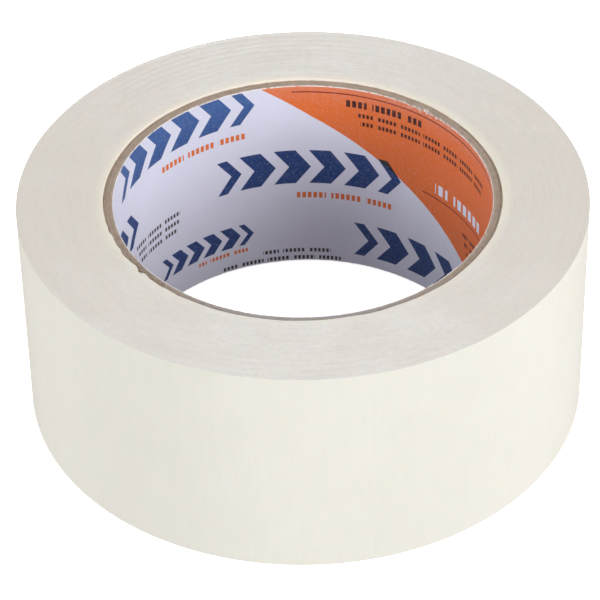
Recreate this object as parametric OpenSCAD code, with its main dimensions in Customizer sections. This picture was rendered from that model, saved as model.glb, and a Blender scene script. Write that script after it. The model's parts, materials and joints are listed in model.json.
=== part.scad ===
// A roll of masking tape: one long strip of crepe paper tape wound on a spiral-wound paperboard core.
// The roll stands on one of its two flat sides. The origin is on the axis, in the plane of the lower
// side, and +Z runs up along the axis.

/* [Tape] */
// Width of the tape, which is the height of the roll
tape_w = 48; // [18:1:72]
// Outside diameter of the wound roll
roll_d = 115.5; // [100:0.5:140]
// Thickness of one layer of tape
tape_t = 0.12; // [0.08:0.01:0.2]

/* [Core] */
// Inside diameter of the core
core_d = 76.6; // [70:0.1:80]
// Thickness of the printed paper liner inside the core
liner_t = 0.12; // [0.08:0.01:0.2]
// Thickness of each board ply of the core
board_t = 0.42; // [0.3:0.02:0.6]
// Thickness of the smooth kraft ply outside the board
kraft_t = 0.1; // [0.06:0.01:0.2]
// How far each end of the core lies below the side of the tape
core_recess = 0.5; // [0.1:0.1:1]

/* [Free end] */
// Length of the free end of the tape, measured along the strip
free_len = 48; // [24:1:60]
// Compass angle of the tip of the free end around the roll
tip_angle = 66; // [30:1:120]
// Clearance between the free end and the layer under it
lift_gap = 0.04; // [0.02:0.01:0.1]
// Clearance between neighbouring stretches of the free end
split_gap = 0.05; // [0.03:0.01:0.1]

/* [Hidden] */
$fn = 180;

// The free end bends at this many hinge lines, one at the near edge of each stretch.
stretches = 4;

core_r = core_d / 2;
board_r = core_r + liner_t;
kraft_r = board_r + 4 * board_t;
tape_r = kraft_r + kraft_t;
roll_r = roll_d / 2;
pack_r = roll_r - tape_t;
free_r = pack_r + lift_gap;

// Angles, in degrees, that a stretch and a split take up around the outside of the roll.
stretch_angle = free_len / stretches / roll_r * 180 / PI;
split_angle = split_gap / roll_r * 180 / PI;
peel_angle = tip_angle + stretches * stretch_angle;

board_color = [0.66, 0.58, 0.49];
tape_color = [0.93, 0.91, 0.86];

// A plain tube between two radii, on the axis.
module tube(r_in, r_out, z_low, z_high) {
    translate([0, 0, z_low])
        difference() {
            cylinder(r = r_out, h = z_high - z_low);
            translate([0, 0, -1])
                cylinder(r = r_in, h = z_high - z_low + 2);
        }
}

// A layer of tape at full width, from one compass angle to another.
module tape_arc(r_in, from, to) {
    rotate([0, 0, from])
        rotate_extrude(angle = to - from)
            translate([r_in, 0])
                square([tape_t, tape_w]);
}

// One layer of the core, which is a little shorter than the tape is wide.
module core_layer(r_in, thickness) {
    tube(r_in, r_in + thickness, core_recess, tape_w - core_recess);
}

module core_liner() {
    color([0.82, 0.82, 0.9])
        core_layer(core_r, liner_t);
}

// Board plies are counted from the inside of the core.
module core_board_ply(number) {
    color(board_color)
        core_layer(board_r + (number - 1) * board_t, board_t);
}

module core_kraft_ply() {
    color([0.6, 0.5, 0.4])
        core_layer(kraft_r, kraft_t);
}

// All the inner wraps of the strip, pressed tight on each other.
module tape_wound_pack() {
    color(tape_color)
        tube(tape_r, pack_r, 0, tape_w);
}

// The last wrap, from the tip of the free end round to the line where the free end peels off.
module tape_outer_wrap() {
    color(tape_color)
        tape_arc(pack_r, peel_angle, tip_angle + 360 - split_angle);
}

// The stretches of the free end are counted from the peel line to the tip.
module tape_end(number) {
    near = peel_angle - (number - 1) * stretch_angle;
    color([0.95, 0.93, 0.88])
        tape_arc(free_r, near - stretch_angle, near - split_angle);
}

core_liner();
core_board_ply(1);  // core_board_ply_1
core_board_ply(2);  // core_board_ply_2
core_board_ply(3);  // core_board_ply_3
core_board_ply(4);  // core_board_ply_4
core_kraft_ply();
tape_wound_pack();
tape_outer_wrap();
tape_end(1);  // tape_end_1
tape_end(2);  // tape_end_2
tape_end(3);  // tape_end_3
tape_end(4);  // tape_end_4
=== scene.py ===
"""The looks of a roll of masking tape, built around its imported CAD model.

Lengths are metres, and millimetres in the materials and where a name or comment says so. The roll stands
on the floor with its axis along +Z, and the wound tape is one real spiral: a is the angle, in turns, from
the tip of the free end back into the roll.
"""

import json
import math

import bpy
import numpy as np
from mathutils import Matrix, Vector


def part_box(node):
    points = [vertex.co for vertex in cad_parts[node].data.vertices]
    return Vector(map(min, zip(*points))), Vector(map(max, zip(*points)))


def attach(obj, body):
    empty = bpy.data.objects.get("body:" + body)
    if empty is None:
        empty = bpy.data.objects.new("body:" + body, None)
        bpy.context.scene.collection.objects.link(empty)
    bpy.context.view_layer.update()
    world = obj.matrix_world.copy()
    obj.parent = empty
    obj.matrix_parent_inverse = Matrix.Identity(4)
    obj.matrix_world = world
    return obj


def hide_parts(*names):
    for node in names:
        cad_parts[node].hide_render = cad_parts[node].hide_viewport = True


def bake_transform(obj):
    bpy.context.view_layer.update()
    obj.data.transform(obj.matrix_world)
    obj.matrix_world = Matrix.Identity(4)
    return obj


MM = 0.001
TURN = 2 * math.pi

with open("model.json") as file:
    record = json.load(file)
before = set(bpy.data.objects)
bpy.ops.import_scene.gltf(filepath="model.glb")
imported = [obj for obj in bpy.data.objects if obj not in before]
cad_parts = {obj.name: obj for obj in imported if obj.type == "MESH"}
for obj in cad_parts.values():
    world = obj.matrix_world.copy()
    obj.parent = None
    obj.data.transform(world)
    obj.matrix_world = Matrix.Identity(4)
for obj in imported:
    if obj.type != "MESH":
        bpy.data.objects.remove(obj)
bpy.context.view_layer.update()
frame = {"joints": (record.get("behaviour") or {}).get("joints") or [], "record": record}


# ---------------------------------------------------------------- sizes taken from the frame


def outer_radius(node):
    """Radius of the outside of a round node that stands on the axis."""
    low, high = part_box(node)
    return (high.x - low.x) / 2


JOINTS = {joint["name"]: joint for joint in frame["joints"]}
BENDS = ["peel_line", "free_end_bend_1", "free_end_bend_2", "free_end_bend_3"]
PLIES = ["core_board_ply_1", "core_board_ply_2", "core_board_ply_3", "core_board_ply_4"]

tape_low, tape_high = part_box("tape_wound_pack")
core_low, core_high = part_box("core_liner")
WIDTH = tape_high.z - tape_low.z
CORE_Z = (core_low.z, core_high.z)
BORE_R = next(m for m in frame["record"]["mounts"] if m["name"] == "core_bore")["dims"]["r_mm"] * MM
TAPE_R = outer_radius("core_kraft_ply")

LAYER = 0.12 * MM  # thickness of one layer of tape
LIFT = 0.02 * MM  # air under the free end
hinge = Vector(JOINTS["peel_line"]["pos_m"])
TIP_R = math.hypot(hinge.x, hinge.y)


def joint_angle(name):
    """Compass angle of a hinge line of the free end."""
    place = JOINTS[name]["pos_m"]
    return math.atan2(place[1], place[0])


PEEL = joint_angle("peel_line")
STRETCH = PEEL - joint_angle("free_end_bend_1")
TIP = PEEL - len(BENDS) * STRETCH
TURNS_PER_METRE = 1 / (TURN * TIP_R)  # turns that a metre of the outermost wrap takes up


# ---------------------------------------------------------------- meshes


def make_piece(name, points, faces, materials, face_materials=None):
    """A smooth mesh object from an array of points and a list of faces."""
    mesh = bpy.data.meshes.new(name)
    mesh.from_pydata(np.asarray(points).tolist(), [], [list(map(int, f)) for f in faces])
    for material in materials:
        mesh.materials.append(material)
    if face_materials is not None:
        mesh.polygons.foreach_set("material_index", np.asarray(face_materials, np.int32))
    mesh.polygons.foreach_set("use_smooth", np.full(len(mesh.polygons), True))
    mesh.update()
    piece = bpy.data.objects.new(name, mesh)
    bpy.context.scene.collection.objects.link(piece)
    return piece


def sharpen(piece, degrees):
    """Marks the edges between faces that meet at more than this angle as sharp."""
    piece.data.set_sharp_from_angle(angle=math.radians(degrees))


def sharpen_loops(piece, loop_of, loops):
    """Marks the edges that run along some loops as sharp. loop_of gives the loop of each point."""
    ends = np.zeros(2 * len(piece.data.edges), np.int32)
    piece.data.edges.foreach_get("vertices", ends)
    loop = np.asarray(loop_of)[ends.reshape(-1, 2)]
    along = (loop[:, 0] == loop[:, 1]) & np.isin(loop[:, 0], loops)
    attribute = piece.data.attributes.new("sharp_edge", "BOOLEAN", "EDGE")
    attribute.data.foreach_set("value", along)


def set_values(piece, name, values):
    """Stores one number per point, for the material to read."""
    attribute = piece.data.attributes.new(name, "FLOAT", "POINT")
    attribute.data.foreach_set("value", np.asarray(values, np.float32).ravel())


def strip(one, two):
    """Quads between two lines of points, given as point numbers."""
    return np.stack([one[:-1], one[1:], two[1:], two[:-1]], axis=-1)


def closed_band(one, two):
    """Quads between two closed loops of points."""
    return strip(np.append(one, one[0]), np.append(two, two[0]))


def on_cylinder(radius, angle, z):
    """Points from arrays of radius, compass angle and height."""
    radius, angle, z = np.broadcast_arrays(radius, angle, z)
    return np.stack([radius * np.cos(angle), radius * np.sin(angle), z], axis=-1).reshape(-1, 3)


def hump(x, middle, reach):
    """A bump along a line: 1 at the middle, and almost 0 two reaches away."""
    return np.exp(-(((x - middle) / reach) ** 2))


def near_angle(angle, middle_degrees, sharpness):
    """A bump round the roll: 1 at a compass angle, falling off faster as sharpness grows."""
    return np.exp(sharpness * (np.cos(np.asarray(angle) - math.radians(middle_degrees)) - 1))


class Waves:
    """A smooth random curve of about -2 to 2: a sum of sine waves with random phases."""

    def __init__(self, rng, rate):
        self.rate = rate
        self.phase = rng.uniform(0, TURN, len(rate))
        self.size = 1 / math.sqrt(len(rate) / 2)

    def __call__(self, x):
        x = np.asarray(x)[..., None]
        return self.size * np.sin(x * self.rate + self.phase).sum(-1)


def ripple(seed, waves, shortest, longest):
    """A smooth random curve along a line, from waves between two lengths."""
    rng = np.random.default_rng(seed)
    lengths = np.exp(rng.uniform(math.log(shortest), math.log(longest), waves))
    return Waves(rng, TURN / lengths)


def ring(seed, lowest, highest):
    """A smooth random curve round the roll, which closes on itself."""
    return Waves(np.random.default_rng(seed), np.arange(lowest, highest + 1))


# ---------------------------------------------------------------- materials


class Shader:
    """A node material that is built up one node at a time."""

    def __init__(self, name, roughness, **settings):
        self.material = bpy.data.materials.new(name)
        self.material.use_nodes = True
        self.tree = self.material.node_tree
        self.surface = self.tree.nodes["Principled BSDF"]
        self.surface.inputs["Roughness"].default_value = roughness
        for socket, value in settings.items():
            self.surface.inputs[socket.replace("_", " ")].default_value = value

    def add(self, kind, inputs=None, **properties):
        """Adds a node. An input is a plain value or the output socket of another node."""
        node = self.tree.nodes.new(kind)
        for name, value in properties.items():
            setattr(node, name, value)
        for key, value in (inputs or {}).items():
            if isinstance(value, bpy.types.NodeSocket):
                self.tree.links.new(value, node.inputs[key])
            else:
                node.inputs[key].default_value = value
        return node

    def math(self, operation, *values, clamp=False):
        inputs = dict(enumerate(values))
        return self.add("ShaderNodeMath", inputs, operation=operation, use_clamp=clamp).outputs[0]

    def place(self):
        """The position on the object, in millimetres."""
        if not hasattr(self, "position"):
            coordinates = self.add("ShaderNodeTexCoord").outputs["Object"]
            scaled = self.add(
                "ShaderNodeVectorMath", {0: coordinates, 1: (1000, 1000, 1000)}, operation="MULTIPLY"
            )
            self.position = scaled.outputs[0]
        return self.position

    def axes(self):
        """x, y and z in millimetres."""
        split = self.add("ShaderNodeSeparateXYZ", {0: self.place()})
        return split.outputs[0], split.outputs[1], split.outputs[2]

    def join(self, x, y, z):
        return self.add("ShaderNodeCombineXYZ", {0: x, 1: y, 2: z}).outputs[0]

    def noise(self, vector, scale, detail=3.0, roughness=0.5):
        """Noise from 0 to 1. Scale is in features per millimetre."""
        inputs = {"Vector": vector, "Scale": scale, "Detail": detail, "Roughness": roughness}
        return self.add("ShaderNodeTexNoise", inputs).outputs["Fac"]

    def spread(self, value, low, high, to_low=0.0, to_high=1.0):
        """Maps low..high to to_low..to_high, and holds the ends."""
        inputs = {"Value": value, "From Min": low, "From Max": high, "To Min": to_low, "To Max": to_high}
        return self.add("ShaderNodeMapRange", inputs).outputs["Result"]

    def mix(self, amount, first, second, blend="MIX"):
        """A colour between first and second, which are sockets or RGB triples."""
        node = self.add("ShaderNodeMix", data_type="RGBA", blend_type=blend)
        for socket, value in zip((0, 6, 7), (amount, first, second)):
            if isinstance(value, bpy.types.NodeSocket):
                self.tree.links.new(value, node.inputs[socket])
            elif isinstance(value, tuple):
                node.inputs[socket].default_value = (*value, 1)
            else:
                node.inputs[socket].default_value = value
        return node.outputs[2]

    def value_of(self, attribute):
        node = self.add("ShaderNodeAttribute", attribute_name=attribute)
        return node.outputs["Fac"]

    def colour(self, socket):
        self.tree.links.new(socket, self.surface.inputs["Base Color"])

    def roughness(self, socket):
        self.tree.links.new(socket, self.surface.inputs["Roughness"])

    def bump(self, height, depth_mm, strength=1.0):
        """Fine relief under the size of the mesh, from a height of 0 to 1."""
        inputs = {"Strength": strength, "Distance": depth_mm * MM, "Height": height}
        node = self.add("ShaderNodeBump", inputs)
        self.tree.links.new(node.outputs[0], self.surface.inputs["Normal"])


def srgb(red, green, blue):
    """The linear colour of an sRGB colour given from 0 to 255."""
    parts = (v / 255 for v in (red, green, blue))
    return tuple(v / 12.92 if v <= 0.04045 else ((v + 0.055) / 1.055) ** 2.4 for v in parts)


def times(colour, factor):
    """A darker or brighter shade of a colour."""
    return tuple(min(1, v * factor) for v in colour)


CREAM = srgb(236, 229, 219)
CREAM_CLOUD = srgb(234, 227, 216)
CREAM_STREAK = srgb(222, 214, 200)
CREAM_FIBRE = srgb(243, 238, 231)
# painted shade for the valleys of the crepe creases
CREASE_SHADE = srgb(214, 205, 190)

SLIT = srgb(215, 212, 208)
SLIT_CLOUD = srgb(210, 206, 200)
SLIT_BROAD_RING = srgb(194, 188, 177)
SLIT_FINE_RING = srgb(191, 185, 174)
SLIT_MOTTLE = srgb(195, 189, 179)
# painted shade for the left and right of the slit side
SLIT_SIDE_SHADE = srgb(198, 190, 178)
SLIT_SPECK = srgb(226, 222, 215)
SLIT_NEAR_CORE = srgb(222, 217, 200)

KRAFT_BROWN = srgb(178, 156, 130)
BOARD_TINTS = [srgb(165, 150, 136), srgb(157, 142, 128), srgb(164, 148, 134), srgb(156, 140, 125)]
# painted shade for the front of the core's upper end
BOARD_FRONT_SHADE = srgb(154, 152, 151)
TORN_BOARD = srgb(162, 147, 128)
TORN_LINER = srgb(222, 212, 208)


def crepe_material():
    """Cream crepe paper: fine creases across the tape with painted shade in their valleys, cloudy fibres
    and a dry matt face.
    """
    s = Shader(
        "crepe_paper", 0.72, Specular_IOR_Level=0.3, Subsurface_Weight=0.12, Subsurface_Scale=0.001
    )
    x, y, z = s.axes()
    along = s.math("MULTIPLY", s.math("ARCTAN2", x, y), TIP_R / MM)
    streaks = s.noise(s.join(along, s.math("MULTIPLY", z, 0.12), 0.0), 3.4, 4.0, 0.6)
    clouds = s.noise(s.place(), 0.1, 2.0)
    fibres = s.noise(s.place(), 3.5, 4.0, 0.65)
    crease = s.value_of("crease")
    base = s.mix(s.spread(clouds, 0.3, 0.7), CREAM, CREAM_CLOUD)
    base = s.mix(s.spread(streaks, 0.4, 0.75, 0.0, 0.04), base, CREAM_STREAK)
    base = s.mix(s.spread(fibres, 0.55, 0.8, 0.0, 0.3), base, CREAM_FIBRE)
    # Painted shade: the valleys of the crepe creases are drawn darker and yellower.
    base = s.mix(s.spread(crease, 0.0, -1.6, 0.0, 0.05), base, CREASE_SHADE)
    s.colour(base)
    s.roughness(s.spread(fibres, 0.3, 0.7, 0.66, 0.82))
    s.bump(s.math("ADD", s.math("MULTIPLY", streaks, 0.5), s.math("MULTIPLY", fibres, 0.5)), 0.03)
    return s.material


def edge_material():
    """The slit side of the roll: fine rings of paper edges, specks, cleaner paper near the core, and
    painted shade at the sides.

    The rings are noise that is read along the radius and along a small circle once round the roll, so
    that it changes fast across the wraps and slowly along them.
    """
    s = Shader(
        "slit_edges", 0.7, Specular_IOR_Level=0.2, Subsurface_Weight=0.15, Subsurface_Scale=0.0008
    )
    x, y, _ = s.axes()
    radius = s.math("SQRT", s.math("ADD", s.math("MULTIPLY", x, x), s.math("MULTIPLY", y, y)))
    turn = s.math("ARCTAN2", x, y)
    circle = 6.0
    rings_at = s.join(
        radius,
        s.math("MULTIPLY", s.math("SINE", turn), circle),
        s.math("MULTIPLY", s.math("COSINE", turn), circle),
    )
    broad = s.noise(rings_at, 0.55, 2.0)
    fine = s.noise(rings_at, 2.2, 3.0, 0.6)
    clouds = s.noise(s.place(), 0.09, 3.0)
    mottle = s.noise(s.place(), 0.9, 3.0, 0.6)
    specks = s.noise(s.place(), 3.0, 3.0, 0.7)
    base = s.mix(s.spread(clouds, 0.3, 0.7), SLIT, SLIT_CLOUD)
    base = s.mix(s.spread(broad, 0.4, 0.75, 0.0, 0.16), base, SLIT_BROAD_RING)
    base = s.mix(s.spread(fine, 0.45, 0.8, 0.0, 0.22), base, SLIT_FINE_RING)
    base = s.mix(s.spread(mottle, 0.42, 0.75, 0.0, 0.32), base, SLIT_MOTTLE)
    # Painted shade: the slit side is drawn darker and warmer towards the left and right of the roll, where
    # the rings catch less light.
    shade_at_sides = s.math("DIVIDE", s.math("ABSOLUTE", x), radius)
    base = s.mix(s.spread(shade_at_sides, 0.4, 1.0, 0.0, 0.5), base, SLIT_SIDE_SHADE)
    base = s.mix(s.spread(specks, 0.58, 0.8, 0.0, 0.35), base, SLIT_SPECK)
    near_core = s.spread(radius, TAPE_R / MM + 0.3, TAPE_R / MM + 2.2, 0.6, 0.0)
    near_core = s.math("MULTIPLY", near_core, s.spread(y, -36.0, -10.0, 0.25, 1.0))
    base = s.mix(near_core, base, SLIT_NEAR_CORE)
    s.colour(base)
    s.roughness(s.spread(fine, 0.3, 0.7, 0.64, 0.8))
    s.bump(s.math("ADD", s.math("MULTIPLY", fine, 0.3), s.math("MULTIPLY", specks, 0.7)), 0.03)
    return s.material


def board_material(name, tint):
    """Grey-brown recycled board: long and short fibres, darker and paler flecks, greyer at the front as
    painted shade.
    """
    s = Shader(name, 0.88, Specular_IOR_Level=0.2)
    fibres = s.noise(s.place(), 5.0, 5.0, 0.7)
    pulp = s.noise(s.place(), 0.7, 3.0)
    flecks = s.noise(s.place(), 3.1, 2.0, 0.4)
    base = s.mix(s.spread(pulp, 0.3, 0.7), tint, times(tint, 0.84))
    base = s.mix(s.spread(fibres, 0.45, 0.75, 0.0, 0.7), base, times(tint, 1.3))
    base = s.mix(s.spread(flecks, 0.62, 0.75, 0.0, 0.5), base, times(tint, 0.55))
    # Painted shade: the board is drawn greyer at the front, where the core's upper end sits deepest in the
    # tape.
    base = s.mix(s.spread(s.axes()[1], -38.0, -26.0, 0.65, 0.0), base, BOARD_FRONT_SHADE)
    s.colour(base)
    s.bump(fibres, 0.06)
    return s.material


# ---------------------------------------------------------------- the printed liner

SPIRAL = math.radians(32.2)  # the slant of the spiral that the core is wound in
ORANGE_FROM = 64.8  # where the orange band starts at the foot of the roll, in mm to the right of the back
ORANGE_WIDE = 96.0  # how many mm round the core the band reaches at one height
ORANGE_DRIFT = 1.7  # how many mm the band drifts to the right over the uppermost 8 mm of the core

FRAYED = 216  # compass angle of the damaged stretch of the core's upper edge, in degrees
NIBBLED = 48  # compass angle of the nibbled stretch of the liner's upper edge, in degrees

NAVY = srgb(25, 57, 114)
# painted highlight: the navy drawn lighter towards the upper edge of the liner
NAVY_HIGHLIGHT = srgb(56, 92, 150)
ORANGE = srgb(216, 107, 47)
# the orange drawn paler towards the upper edge of the liner
ORANGE_PALER_AT_TOP = srgb(205, 134, 112)
INK = srgb(58, 48, 56)
LINE_INK = srgb(118, 76, 84)
WHITE = srgb(210, 216, 233)
WHITE_CLOUD = srgb(206, 212, 229)
WHITE_GRAIN = srgb(195, 197, 217)
WHITE_THREAD = srgb(194, 196, 216)
WHITE_SPECKLE = srgb(198, 200, 216)
WHITE_WORN = srgb(225, 222, 230)
BARE_PAPER = srgb(228, 224, 220)
NIBBLED_PAPER = srgb(228, 216, 212)

# Rows of printed marks, as (mm round from the back, mm up) of the middle. A row of small print has a
# length and a number of lines as well.
ARROWS = [
    (3.3, 26.2), (-29.0, 43.6), (-62.0, 28.4), (33.5, 7.6), (-93.0, 9.0), (-112.0, 40.0), (96.0, 34.0),
]
SMALL_ARROWS = [(-22.0, 9.6), (74.0, 12.0), (-78.0, 44.0)]
SMALL_PRINT = [
    (-36.5, 22.3, 16.0, 3), (-1.5, 3.4, 15.0, 1), (-5.0, 1.4, 27.0, 1), (31.0, 40.9, 38.0, 2),
    (47.0, 22.4, 12.0, 3), (88.0, 22.0, 20.0, 3), (-100.0, 26.0, 24.0, 3),
]
LINE_STEP = 2.1  # mm from one line of small print to the next
LINE_SHORTER = 1.5  # mm by which each line of small print is shorter than the one above

SOFT_EDGE = 0.1  # mm over which the edge of a printed mark or of the orange band fades
GROUP_EVERY = 6.37  # a row of bars is broken into groups, one every so many bars
GROUP_ROOM = 5.4  # the room that one group takes up, counted in bars
GROUP_START = 3.1  # mm by which the groups are moved along the row
COARSE_PITCH = 2.5  # rows with more mm than this from mark to mark aren't broken into groups


def row(ink, s, z, length, height, pitch, share, point=0.0):
    """A row of marks with its middle s mm round from the back and z mm up.

    Pitch is from mark to mark, and share is the inked part of it. Marks that point on are arrowheads:
    their middle is point times half their height ahead of their upper and lower ends.
    """
    shape = {"Length": length, "Height": height, "Pitch": pitch, "Share": share, "Point": point}
    return ink, s, z, shape


def printed_rows():
    """Every row of marks: arrowheads with a row of bars under them, small print, and two thin rules."""
    rows = []
    for s, z in ARROWS:
        rows.append(row(NAVY, s, z, length=38.0, height=8.8, pitch=7.6, share=0.62, point=0.75))
        rows.append(row(ORANGE, s + 6.0, z - 7.6, length=24.0, height=1.5, pitch=1.2, share=0.66))
    for s, z in SMALL_ARROWS:
        rows.append(row(NAVY, s, z, length=22.0, height=5.6, pitch=4.4, share=0.62, point=0.75))
        rows.append(row(ORANGE, s + 3.5, z - 4.3, length=12.0, height=1.0, pitch=0.9, share=0.66))
    for s, z, length, lines in SMALL_PRINT:
        for line in range(lines):
            below, shorter = LINE_STEP * line, LINE_SHORTER * line
            rows.append(row(INK, s, z - below, length - shorter, height=1.0, pitch=0.9, share=0.64))
    rows.append(row(INK, 18.5, 43.6, length=18.0, height=1.7, pitch=1.3, share=0.68))
    rows.append(row(WHITE, 40.5, 29.0, length=18.0, height=2.6, pitch=2.1, share=0.64))
    rows.append(row(LINE_INK, 29.0, 45.9, length=62.0, height=0.3, pitch=120.0, share=1.0))
    rows.append(row(LINE_INK, 38.5, 26.4, length=21.0, height=0.3, pitch=60.0, share=1.0))
    return rows


def mark_group():
    """A node group that gives 1 inside a row of marks and 0 outside, with slightly soft edges.

    About every sixth mark of a row of short upright bars is left out, which breaks the row into groups.
    """
    group = bpy.data.node_groups.new("printed_row", "ShaderNodeTree")
    for name in ("Along", "Up", "Length", "Height", "Pitch", "Share", "Point"):
        group.interface.new_socket(name, in_out="INPUT", socket_type="NodeSocketFloat")
    group.interface.new_socket("Inside", in_out="OUTPUT", socket_type="NodeSocketFloat")
    given = group.nodes.new("NodeGroupInput")
    result = group.nodes.new("NodeGroupOutput")

    def calc(operation, *values, clamp=False):
        node = group.nodes.new("ShaderNodeMath")
        node.operation = operation
        node.use_clamp = clamp
        for index, value in enumerate(values):
            if isinstance(value, str):
                group.links.new(given.outputs[value], node.inputs[index])
            elif isinstance(value, bpy.types.NodeSocket):
                group.links.new(value, node.inputs[index])
            else:
                node.inputs[index].default_value = value
        return node.outputs[0]

    def within(value, half):
        """1 where value is less than half, falling to 0 over the soft edge."""
        return calc("MULTIPLY_ADD", calc("SUBTRACT", half, value), 1 / SOFT_EDGE, 0.5, clamp=True)

    height = calc("ABSOLUTE", "Up")
    shear = calc("MULTIPLY", height, "Point")
    along = calc("ADD", "Along", shear)
    inside_row = within(calc("ABSOLUTE", along), calc("MULTIPLY", "Length", 0.5))
    inside_height = within(height, calc("MULTIPLY", "Height", 0.5))
    step = calc("FLOORED_MODULO", along, "Pitch")
    from_middle = calc("ABSOLUTE", calc("SUBTRACT", step, calc("MULTIPLY", "Pitch", 0.5)))
    inside_mark = within(from_middle, calc("MULTIPLY", calc("MULTIPLY", "Pitch", "Share"), 0.5))
    moved = calc("ADD", along, GROUP_START)
    group_step = calc("FLOORED_MODULO", moved, calc("MULTIPLY", "Pitch", GROUP_EVERY))
    in_group = within(group_step, calc("MULTIPLY", "Pitch", GROUP_ROOM))
    in_group = calc("MAXIMUM", in_group, calc("GREATER_THAN", "Pitch", COARSE_PITCH))
    inside_mark = calc("MULTIPLY", inside_mark, in_group)
    inside = calc("MULTIPLY", calc("MULTIPLY", inside_row, inside_height), inside_mark)
    group.links.new(inside, result.inputs[0])
    return group


def print_marks(s, base, along, z):
    """Prints every row of marks. Dark inks let what is under them show through, and white covers it."""

    def as_filter(ink):
        return tuple(min(1.0, a / b) for a, b in zip(ink, WHITE))

    # Painted highlight: the navy ink is drawn lighter over the upper part of the liner.
    navy = s.mix(s.spread(z, 32.0, 45.0), as_filter(NAVY), as_filter(NAVY_HIGHLIGHT))
    group = mark_group()
    for ink, row_s, row_z, shape in printed_rows():
        node = s.add("ShaderNodeGroup", node_tree=group)
        s.tree.links.new(s.math("SUBTRACT", along, row_s), node.inputs["Along"])
        s.tree.links.new(s.math("SUBTRACT", z, row_z), node.inputs["Up"])
        for key, value in shape.items():
            node.inputs[key].default_value = value
        if ink is WHITE:
            base = s.mix(node.outputs[0], base, ink)
        elif ink is NAVY:
            base = s.mix(node.outputs[0], base, navy, "MULTIPLY")
        else:
            base = s.mix(node.outputs[0], base, as_filter(ink), "MULTIPLY")
    return base


def liner_material():
    """White coated paper with a slanting orange band, rows of navy arrowheads and rows of plain bars.

    The print is rubbed off along the upper edge, and further down where the edge is nibbled.
    """
    s = Shader("printed_liner", 0.5, Specular_IOR_Level=0.4)
    x, y, z = s.axes()
    along = s.math("MULTIPLY", s.math("ARCTAN2", x, y), BORE_R / MM)
    around = TURN * BORE_R / MM
    grain = s.noise(s.place(), 4.0, 4.0, 0.65)
    threads = s.noise(s.join(along, s.math("MULTIPLY", z, 0.15), 0.0), 2.6, 3.0, 0.6)
    clouds = s.noise(s.place(), 0.12, 3.0)
    worn = s.noise(s.place(), 1.4, 5.0, 0.7)
    base = s.mix(s.spread(clouds, 0.3, 0.7), WHITE, WHITE_CLOUD)
    base = s.mix(s.spread(grain, 0.4, 0.8, 0.0, 0.35), base, WHITE_GRAIN)
    base = s.mix(s.spread(threads, 0.45, 0.75, 0.0, 0.2), base, WHITE_THREAD)

    start = s.math("ADD", along, s.math("MULTIPLY", z, 1 / math.tan(SPIRAL)))
    start = s.math("SUBTRACT", start, s.spread(z, 39.5, 47.5, 0.0, ORANGE_DRIFT))
    past = s.math("FLOORED_MODULO", s.math("SUBTRACT", start, ORANGE_FROM), around)
    to_end = s.math("SUBTRACT", ORANGE_WIDE, past)
    in_band = s.math("MULTIPLY_ADD", to_end, 1 / SOFT_EDGE, 0.5, clamp=True)
    from_start = s.math("MULTIPLY_ADD", past, 1 / SOFT_EDGE, 0.0, clamp=True)
    orange = s.math("MULTIPLY", in_band, from_start)
    ink_orange = s.mix(s.spread(grain, 0.3, 0.8), ORANGE, times(ORANGE, 0.86))
    # The orange is drawn paler over the uppermost 5 mm of the liner.
    ink_orange = s.mix(s.spread(z, 42.5, 47.5, 0.0, 0.42), ink_orange, ORANGE_PALER_AT_TOP)
    base = s.mix(orange, base, ink_orange)
    base = print_marks(s, base, along, z)

    top = CORE_Z[1] / MM
    bare = s.math("MULTIPLY_ADD", s.math("SUBTRACT", z, top - 0.28), 9.0, 0.0, clamp=True)
    bare = s.math("MULTIPLY", bare, s.spread(worn, 0.35, 0.5))
    base = s.mix(bare, base, BARE_PAPER)
    nibbled_at = math.radians(90 - NIBBLED) * BORE_R / MM
    from_nibbles = s.math("ABSOLUTE", s.math("SUBTRACT", along, nibbled_at))
    nibbled = s.math("MULTIPLY", s.spread(z, top - 1.4, top - 0.4), s.spread(worn, 0.55, 0.6))
    nibbled = s.math("MULTIPLY", nibbled, s.spread(from_nibbles, 4.0, 10.0, 1.0, 0.0))
    base = s.mix(nibbled, base, NIBBLED_PAPER)
    speckle = s.noise(s.place(), 1.9, 4.0, 0.7)
    base = s.mix(s.spread(speckle, 0.48, 0.75, 0.0, 0.15), base, WHITE_SPECKLE)
    base = s.mix(s.spread(worn, 0.7, 0.8, 0.0, 0.25), base, WHITE_WORN)
    s.colour(base)
    s.roughness(s.spread(grain, 0.3, 0.7, 0.42, 0.6))
    s.bump(s.math("ADD", s.math("MULTIPLY", grain, 0.5), s.math("MULTIPLY", threads, 0.5)), 0.014)
    return s.material


CREPE = crepe_material()
EDGE = edge_material()
LINER = liner_material()
KRAFT = board_material("kraft_paper", KRAFT_BROWN)


# ---------------------------------------------------------------- the wound tape

SIDE_COLUMNS = 160  # points per turn on the sides of the roll
SEAM_DEPTH = 0.022 * MM  # how far the seam between two wraps lies below the crests of their edges
CLEAR_STEP = 1.0 * MM  # from ring to ring over the first wraps at the left
CLOSE_STEP = 0.6 * MM  # from ring to ring in the outer half at the right
CRUSHED = 214  # compass angle where the innermost wrap is pushed in over the core, in degrees

broad_rings = ripple(11, 9, 1.6 * MM, 6.0 * MM)
fine_rings = ripple(12, 14, 0.3 * MM, 1.1 * MM)
drift = ripple(13, 12, 0.7, 9.0)
ring_fade = ring(14, 1, 3)
fine_fade = ring(15, 1, 4)
wobble = ring(16, 6, 40)
lumps = ring(17, 8, 30)


def layer_radius(a):
    """Radius of the outside of the strip, a turns in from its tip."""
    return TIP_R - LAYER * np.asarray(a)


def compass(a):
    """Compass angle of the strip, a turns in from its tip."""
    return TIP + TURN * np.asarray(a)


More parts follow.
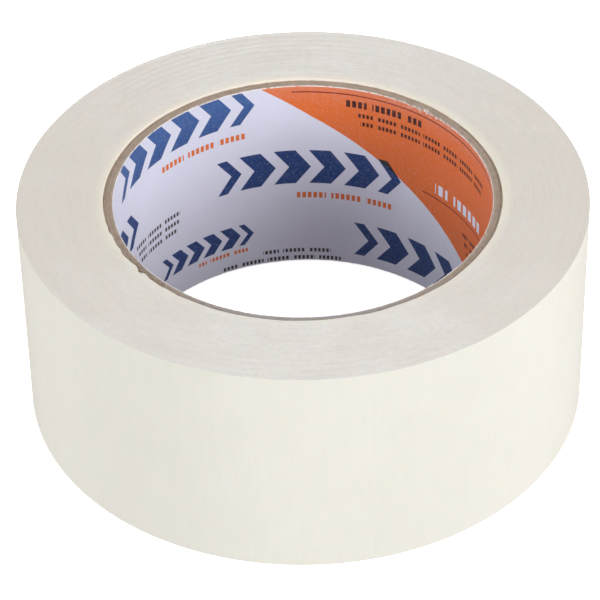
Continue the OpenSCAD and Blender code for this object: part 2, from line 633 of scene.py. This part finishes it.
def side_height(a, side):
    """How far the slit edge of the strip stands out of the plane of the side, a turns in from the tip.

    Wraps that were wound a little to one side stand out as rings: broad and fine bands all over, a few
    clear rings over the first wraps at the left, and close wavy ones in the outer half at the right. The
    rim is rounded off a little. The shift gives the two sides rings of their own.
    """
    radius = layer_radius(a)
    angle = compass(a)
    wound = radius - TAPE_R
    shift = 40 * MM * side
    wavy = 0.1 * MM * wobble(angle)
    broad = broad_rings(radius + shift) * (0.55 + 0.45 * ring_fade(angle + side))
    fine = fine_rings(radius + shift + wavy) * (0.5 + 0.5 * fine_fade(angle + 2 * side))
    wander = drift(np.asarray(a) + 50 * side)
    first_wraps = hump(wound, 2.2 * MM, 2.2 * MM) * near_angle(angle, 178, 2.2)
    outer_half = hump(wound, 9.5 * MM, 5.0 * MM) * near_angle(angle, 5, 1.8)
    clear = np.sin(wound / CLEAR_STEP * TURN) * first_wraps
    close = np.sin((radius + wavy) / CLOSE_STEP * TURN) * outer_half
    near_rim = hump(radius, TIP_R, 0.25 * MM)
    rings = 0.014 * broad + 0.004 * fine + 0.012 * clear + 0.006 * close
    return MM * (rings + 0.005 * wander - 0.02 * near_rim)


def pressed_in(angle):
    """How far the edge of the innermost wrap is pushed in over the core, round the roll."""
    crushed = near_angle(angle, CRUSHED, 14)
    return MM * (0.05 + 0.035 * lumps(angle) + crushed * (0.16 + 0.14 * lumps(3 * angle)))


def wound_pack():
    """All the wraps under the last one, as a closed spiral body with every paper edge on both sides.

    Each side has a seam line and a crest line that run through all the wraps. The innermost wrap ends in
    a line of its own, pushed in over the core a little. A step closes each end of the spiral.
    """
    turns = int((TIP_R - TAPE_R) / LAYER) - 2
    n = SIDE_COLUMNS
    count = turns * n + 1
    a = 1.0 + np.arange(count) / n
    last = slice(count - n, count)
    outside = layer_radius(a)
    angle = compass(a)
    points, lines = [], []
    for side, level in ((1, WIDTH), (-1, 0.0)):
        crest = side_height(a, side)
        seam = crest - SEAM_DEPTH
        inside = outside[last] - LAYER - pressed_in(angle[last])
        start = sum(len(p) for p in points)
        points.append(on_cylinder(outside, angle, level + side * seam))
        points.append(on_cylinder(outside - LAYER / 2, angle, level + side * crest))
        points.append(on_cylinder(inside, angle[last], level + side * seam[last]))
        seam_line = start + np.arange(count)
        lines.append((seam_line, seam_line + count, start + 2 * count + np.arange(n)))
    (top_seam, top_crest, top_inner), (low_seam, low_crest, low_inner) = lines

    faces = []
    for seam, crest, inner in lines:
        under = np.append(seam[n:], inner)
        for quads in (strip(seam, crest), strip(crest, under)):
            faces.append(quads[:, ::-1] if seam is low_seam else quads)
    sides = sum(len(f) for f in faces)
    faces.append(strip(low_seam[: n + 1], top_seam[: n + 1]))
    faces.append(strip(np.append(low_seam[-1], low_inner), np.append(top_seam[-1], top_inner))[:, ::-1])
    walls = len(faces[-1]) + len(faces[-2])
    outer_step = [low_seam[0], top_seam[0], top_crest[0], top_seam[n], low_seam[n], low_crest[0]]
    inner_step = [low_inner[-1], top_inner[-1], top_crest[-1], top_seam[-1], low_seam[-1], low_crest[-1]]
    all_faces = np.concatenate(faces).tolist() + [outer_step, inner_step]
    kinds = np.repeat([1, 0], [sides, walls + 2])
    points = np.concatenate(points)
    piece = make_piece("tape_wound_pack_wraps", points, all_faces, [CREPE, EDGE], kinds)
    set_values(piece, "crease", np.zeros(len(points)))
    sharpen(piece, 50)
    return piece


# The crepe creases are three sorts of soft ridges: reach along the strip and across it in mm, and weight.
CREASES = [(0.14, 1.4, 0.75), (0.34, 2.6, 0.55), (1.4, 6.0, 0.1)]


def crease_field(columns, rows, seed, along_mm, up_mm):
    """Crepe creases as heights of about -2 to 2, on a grid with steps of along_mm and up_mm."""
    rng = np.random.default_rng(seed)
    field = np.zeros((rows, columns))
    for reach_along, reach_up, weight in CREASES:
        layer = rng.standard_normal((rows, columns))
        for axis, reach in ((1, reach_along / along_mm), (0, reach_up / up_mm)):
            half = max(1, int(3 * reach))
            kernel = np.exp(-0.5 * (np.arange(-half, half + 1) / max(reach, 0.3)) ** 2)
            layer = np.apply_along_axis(np.convolve, axis, layer, kernel / kernel.sum(), "same")
        field += weight * layer / layer.std()
    return field


STRIP_STEP = 0.2 * MM  # spacing of the points along the strip
STRIP_ROWS = 45  # points across the width of the strip
CREASE_DEPTH = 0.008 * MM  # how far a crease of height 1 stands out
CREASE_FADE = 1.5 * MM  # the creases are flatter this near to the slit edges
TORN = 0.5 * MM  # how ragged the torn tip of the tape is
SET_IN = 0.01 * MM  # how far the slit edges of the outermost layer lie below those of the other wraps


def strip_piece(name, from_turn, to_turn, field, gap):
    """A stretch of the outermost layer, as a closed sheet with creases pressed into its outer face.

    The tip has a torn end, so the inner face of that stretch has as many rows of points as the outer one.
    """
    is_tip = from_turn == 0.0
    rows, columns = field.shape
    up = np.linspace(0, 1, rows)[:, None]
    a = np.broadcast_to(np.linspace(from_turn, to_turn, columns), field.shape)
    if is_tip:
        ragged = TORN * TURNS_PER_METRE
        torn = np.random.default_rng(31).uniform(0, 1, (rows, 1)) ** 1.5 * ragged
        a = a + torn * np.exp(-a / (2 * ragged))
    angle = compass(a)
    outside = layer_radius(a)
    top = WIDTH + side_height(a[0], 1) - SET_IN
    low = -side_height(a[0], -1) + SET_IN
    z = low + (top - low) * up
    fade = np.clip(np.minimum(up, 1 - up) * WIDTH / CREASE_FADE, 0.25, 1)
    outer = outside + CREASE_DEPTH * field * fade
    inner = outside - LAYER + gap
    front = np.arange(rows * columns).reshape(rows, columns)
    points = [on_cylinder(outer, angle, z)]
    if is_tip:
        points.append(on_cylinder(inner, angle, z))
        back = front + front.size
    else:
        ends = [0, -1]
        points.append(on_cylinder(inner[ends], angle[ends], z[ends]))
        back = front.size + np.arange(2 * columns).reshape(2, columns)
    outer_faces = np.concatenate([strip(front[r], front[r + 1]) for r in range(rows - 1)])
    inner_faces = np.concatenate([strip(back[r + 1], back[r]) for r in range(len(back) - 1)])
    rims = np.concatenate([strip(back[0], front[0]), strip(front[-1], back[-1])])
    faces = outer_faces.tolist() + inner_faces.tolist() + rims.tolist()
    if is_tip:
        faces += strip(front[:, 0], back[:, 0]).tolist()
    else:
        faces.append([*front[:, 0], *back[::-1, 0]])
    faces.append([*front[::-1, -1], *back[:, -1]])
    kinds = np.zeros(len(faces))
    first_rim = len(outer_faces) + len(inner_faces)
    kinds[first_rim : first_rim + len(rims)] = 1
    points = np.concatenate(points)
    piece = make_piece(name, points, faces, [CREPE, EDGE], kinds)
    creases = np.zeros(len(points))
    creases[: front.size] = (field * fade).ravel()
    set_values(piece, "crease", creases)
    sharpen(piece, 40)
    return piece


def outer_layer():
    """The last wrap and the free end, cut from one field of creases so that they run on unbroken."""
    per_turn = int(round(TURN * TIP_R / STRIP_STEP))
    field = crease_field(per_turn + 1, STRIP_ROWS, 21, STRIP_STEP / MM, WIDTH / MM / (STRIP_ROWS - 1))
    cuts = [0.0, *(k * STRETCH / TURN for k in (1.5, 2.5, 3.5, 4)), 1.0]
    names = ["tape_end_tip", "tape_end_third", "tape_end_second", "tape_end_first"]
    names.append("tape_outer_wrap_layer")
    pieces = []
    for name, start, end in zip(names, cuts[:-1], cuts[1:]):
        first, last = int(round(start * per_turn)), int(round(end * per_turn))
        gap = LIFT if name.startswith("tape_end") else 0.0
        part = field[:, first : last + 1]
        pieces.append(strip_piece(name, first / per_turn, last / per_turn, part, gap))
    return pieces


pack = wound_pack()
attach(pack, "roll")
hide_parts("tape_wound_pack")

tip, third, second, first, last_wrap = outer_layer()
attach(last_wrap, "roll")
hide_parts("tape_outer_wrap")


def bend(piece, node):
    """Bakes the piece's place into its mesh and hides the CAD node for that stretch of the free end."""
    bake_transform(piece)
    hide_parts(node)


bend(first, "tape_end_1")
bend(second, "tape_end_2")
bend(third, "tape_end_3")
bend(tip, "tape_end_4")


# ---------------------------------------------------------------- the core

CORE_COLUMNS = 720  # points round each layer of the core
SUNK = 0.22 * MM  # how much deeper in the tape the core sits at the front
FRAYED_DEPTH = 0.16 * MM  # how far the board and kraft plies are worn down where they are frayed
NIBBLED_DEPTH = 0.2 * MM  # how far the liner is worn down where it is nibbled
PLY_GAP = 0.004 * MM  # air between two layers of the core
OVERLAP_WIDE = 3 * MM  # how far the liner's spiral overlaps itself
OVERLAP_LIFT = 0.05 * MM  # how far the upper paper stands out there
FLECK_THICK = 0.05 * MM


def rough_level(rng, angle, rough, level, side, wave, damage=0.0):
    """Heights of the three lines of a cut end: inner edge, middle and outer edge."""
    noise = rng.standard_normal((3, len(angle))) * rough
    noise = (noise + np.roll(noise, 1, axis=1)) / 1.4
    soft = np.array([-0.03, 0.0, -0.03])[:, None] * MM
    worn = damage * np.abs(1 + 0.6 * np.roll(noise, 2, axis=1) / rough)
    return level + side * (soft + noise + 0.02 * MM * wave(angle) - worn)


def core_tube(name, radii, material, seed, rough_mm, damage, sunk, rows=1, twist=0.0, overlap=None):
    """One layer of the core: a closed tube with rough cut ends.

    Its columns lean by twist, in radians from end to end. damage(angle) and sunk(angle) lower its upper
    end, and overlap(angle) lifts its inner face where the spiral overlaps itself.
    """
    columns, rough = CORE_COLUMNS, rough_mm * MM
    rng = np.random.default_rng(seed)
    base = np.arange(columns) * TURN / columns
    leaning = base + twist
    wave = ring(seed + 1, 2, 9)
    low = rough_level(rng, base, rough, CORE_Z[0], -1, wave)
    high = rough_level(rng, leaning, rough, CORE_Z[1], 1, wave, damage(leaning)) - sunk(leaning)
    lifted = radii[0] - (overlap(base) if overlap else 0.0)
    middle = (radii[0] + radii[1]) / 2
    up = np.linspace(0, 1, rows + 1)
    loops = [on_cylinder(lifted, base + twist * u, low[0] + (high[0] - low[0]) * u) for u in up]
    loops.append(on_cylinder(middle, leaning, high[1]))
    loops += [on_cylinder(radii[1], base + twist * u, low[2] + (high[2] - low[2]) * u) for u in up[::-1]]
    loops.append(on_cylinder(middle, base, low[1]))
    count = len(loops)
    numbers = np.arange(count * columns).reshape(count, columns)
    faces = [closed_band(numbers[(k + 1) % count], numbers[k]) for k in range(count)]
    piece = make_piece(name, np.concatenate(loops), np.concatenate(faces), [material])
    corners = [0, rows, rows + 2, 2 * rows + 2]
    sharpen_loops(piece, np.repeat(np.arange(count), columns), corners)
    return piece


def seam_overlap(base):
    """The liner's spiral overlaps itself just past the far edge of the orange band."""
    edge = (ORANGE_FROM + ORANGE_WIDE + 1) * MM - CORE_Z[0] / math.tan(SPIRAL)
    past_edge = (math.pi / 2 - base) * BORE_R - edge
    return np.where(past_edge % (TURN * BORE_R) < OVERLAP_WIDE, OVERLAP_LIFT, 0.0)


def build_core():
    """The liner, the four board plies and the kraft ply, each standing for its own CAD node."""
    edges = [BORE_R, *(outer_radius(n) for n in ["core_liner", *PLIES]), TAPE_R]
    twist = (CORE_Z[1] - CORE_Z[0]) / math.tan(SPIRAL) / BORE_R

    def sunk(angle):
        return SUNK * near_angle(angle, 270, 2.5)

    def frayed(angle):
        return FRAYED_DEPTH * near_angle(angle, FRAYED, 30)

    def nibbled(angle):
        return NIBBLED_DEPTH * near_angle(angle, NIBBLED, 60)

    def add(node, number, material, slot, rough, damage, **form):
        radii = (edges[number], edges[number + 1] - PLY_GAP)
        seed = 60 + 10 * number
        piece = core_tube(node + "_layer", radii, material, seed, rough, damage, sunk, **form)
        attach(piece, "roll")
        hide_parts(node)

    add("core_liner", 0, LINER, "liner_paper", 0.03, nibbled, rows=47, twist=twist, overlap=seam_overlap)
    for number, (node, tint) in enumerate(zip(PLIES, BOARD_TINTS), 1):
        board = board_material(f"board_{number}", tint)
        add(node, number, board, "core_board", 0.04, frayed)
    add("core_kraft_ply", 5, KRAFT, "kraft_paper", 0.03, frayed)


def torn_flecks(name, material, middle, spread, radius, count, seed, size):
    """Small torn bits of paper that cling to the upper edge of the core, each a closed curled sliver.

    Middle and spread are in degrees round the roll, and size is in millimetres.
    """
    rng = np.random.default_rng(seed)
    points, faces = [], []
    steps = 7
    for _ in range(count):
        angle = math.radians(middle + spread * np.clip(rng.normal(), -1.6, 1.6))
        r = radius + rng.normal(0, 0.25) * MM
        length, width = size * rng.uniform(0.5, 1.3) * MM, size * rng.uniform(0.12, 0.3) * MM
        heading, curl, lift = rng.uniform(0, TURN), rng.normal(0, 1.2), rng.uniform(0.1, 0.5) * MM
        outward = np.array([math.cos(angle), math.sin(angle), 0])
        onward = np.array([-math.sin(angle), math.cos(angle), 0])
        start = len(points)
        for k in range(steps):
            t = k / (steps - 1)
            turn = heading + curl * t
            course = outward * math.cos(turn) + onward * math.sin(turn)
            across = outward * -math.sin(turn) + onward * math.cos(turn)
            centre = outward * r + course * length * (t - 0.5)
            centre[2] = CORE_Z[1] + 0.02 * MM + lift * t * t
            wide = width * (0.25 + 0.75 * math.sin(math.pi * min(1, t + 0.15))) / 2
            for sign, height in ((-1, 0), (1, 0), (1, FLECK_THICK), (-1, FLECK_THICK)):
                points.append(centre + across * wide * sign + np.array([0, 0, height]))
        rings = start + np.arange(steps * 4).reshape(steps, 4)
        for k in range(steps - 1):
            faces += closed_band(rings[k], rings[k + 1]).tolist()
        faces += [rings[0, ::-1].tolist(), rings[-1].tolist()]
    piece = make_piece(name, points, faces, [material])
    sharpen(piece, 40)
    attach(piece, "roll")


build_core()
torn_flecks(
    "core_board_flecks", board_material("torn_board", TORN_BOARD),
    middle=FRAYED, spread=5.0, radius=BORE_R + 1.1 * MM, count=16, seed=91, size=1.5,
)
torn_flecks(
    "core_liner_flecks", board_material("torn_liner", TORN_LINER),
    middle=NIBBLED, spread=5.5, radius=BORE_R + 0.15 * MM, count=18, seed=92, size=0.8,
)


# ---------------------------------------------------------------- studio

CAMERA_AWAY = 0.63135  # from the middle of the roll
CAMERA_UP = math.radians(38.91)  # how far above the horizon the camera stands
CAMERA_ROLL = math.radians(-0.985)  # how far it is tilted round its own line of sight
CAMERA_LENS = 183.5  # in mm, for a sensor 36 mm wide
AIM_RIGHT = -0.91 * MM  # where it aims, measured from the middle of the roll
AIM_UP = -2.89 * MM


def place_camera():
    """A long lens that looks down on the roll from the front, aimed just below its middle."""
    middle = Vector((0, 0, WIDTH / 2))
    back = Vector((0, -math.cos(CAMERA_UP), math.sin(CAMERA_UP)))
    level = Vector((1, 0, 0))
    upright = back.cross(level)
    right = level * math.cos(CAMERA_ROLL) + upright * math.sin(CAMERA_ROLL)
    up = upright * math.cos(CAMERA_ROLL) - level * math.sin(CAMERA_ROLL)
    spot = middle + back * CAMERA_AWAY
    towards = (spot - (middle + right * AIM_RIGHT + up * AIM_UP)).normalized()
    right = (right - towards * right.dot(towards)).normalized()
    up = towards.cross(right)
    data = bpy.data.cameras.new("camera")
    data.lens = CAMERA_LENS
    data.sensor_width = 36
    data.clip_start = 0.01
    camera = bpy.data.objects.new("camera", data)
    bpy.context.scene.collection.objects.link(camera)
    turned = np.array([right, up, towards]).T
    camera.matrix_world = Matrix([[*turned[i], spot[i]] for i in range(3)] + [[0, 0, 0, 1]])
    bpy.context.scene.camera = camera


def soft_box(name, bearing, elevation, share, colour):
    """A round soft box, aimed at the roll. Bearing is to the right of the camera, in degrees, and share is
    the brightness of its face."""
    away, size = 1.5, 1.0
    bearing, elevation = math.radians(bearing), math.radians(elevation)
    level = away * math.cos(elevation)
    height = away * math.sin(elevation)
    middle = Vector((0, 0, WIDTH / 2))
    spot = middle + Vector((level * math.sin(bearing), -level * math.cos(bearing), height))
    data = bpy.data.lights.new(name, "AREA")
    data.shape = "DISK"
    data.size = size
    data.energy = share * math.pi**2 * away**2
    data.color = colour
    light = bpy.data.objects.new(name, data)
    bpy.context.scene.collection.objects.link(light)
    light.location = spot
    light.rotation_mode = "QUATERNION"
    light.rotation_quaternion = (spot - middle).to_track_quat("Z", "Y")


def build_sky(above, below):
    """An even pale sky, which is dimmer below the horizon."""
    world = bpy.data.worlds.new("studio")
    bpy.context.scene.world = world
    world.use_nodes = True
    nodes, links = world.node_tree.nodes, world.node_tree.links
    background = nodes["Background"]
    background.inputs["Color"].default_value = (0.985, 0.99, 1.0, 1)
    split = nodes.new("ShaderNodeSeparateXYZ")
    links.new(nodes.new("ShaderNodeTexCoord").outputs["Generated"], split.inputs[0])
    level = nodes.new("ShaderNodeMapRange")
    for key, value in {"From Min": -0.05, "From Max": 0.05, "To Min": below, "To Max": above}.items():
        level.inputs[key].default_value = value
    links.new(split.outputs[2], level.inputs["Value"])
    links.new(level.outputs["Result"], background.inputs["Strength"])


FLOOR_REACH = 3.0  # from the middle of the floor to its edges
FLOOR_Z = -0.0002  # a hair below the foot of the roll


def build_studio():
    """A plain white floor under a pale sky, with a soft box at the front on each side and one behind.

    The floor glows and throws no light back up, like a white sweep set well away from the roll.
    """
    shader = Shader("floor_paper", 0.9, Specular_IOR_Level=0.1)
    shader.surface.inputs["Emission Color"].default_value = (1, 1, 1, 1)
    shader.surface.inputs["Emission Strength"].default_value = 0.8
    clouds = shader.noise(shader.place(), 0.01, 2.0)
    shader.colour(shader.mix(clouds, (0.93, 0.93, 0.93), (0.95, 0.95, 0.95)))
    signs = ((-1, -1), (1, -1), (1, 1), (-1, 1))
    corners = [(FLOOR_REACH * x, FLOOR_REACH * y, FLOOR_Z) for x, y in signs]
    floor = make_piece("floor", corners, [(0, 1, 2, 3)], [shader.material])
    floor.visible_diffuse = False
    floor.visible_glossy = False
    build_sky(0.53, 0.27)
    soft_box("right_soft_box", 54, 26, 0.92, (1.0, 0.991, 0.996))
    soft_box("left_soft_box", -60, 20, 0.67, (1.0, 0.992, 0.988))
    soft_box("back_soft_box", 180, 10, 0.42, (1.0, 0.993, 0.985))
    bpy.context.scene.view_settings.view_transform = "Standard"


place_camera()
build_studio()
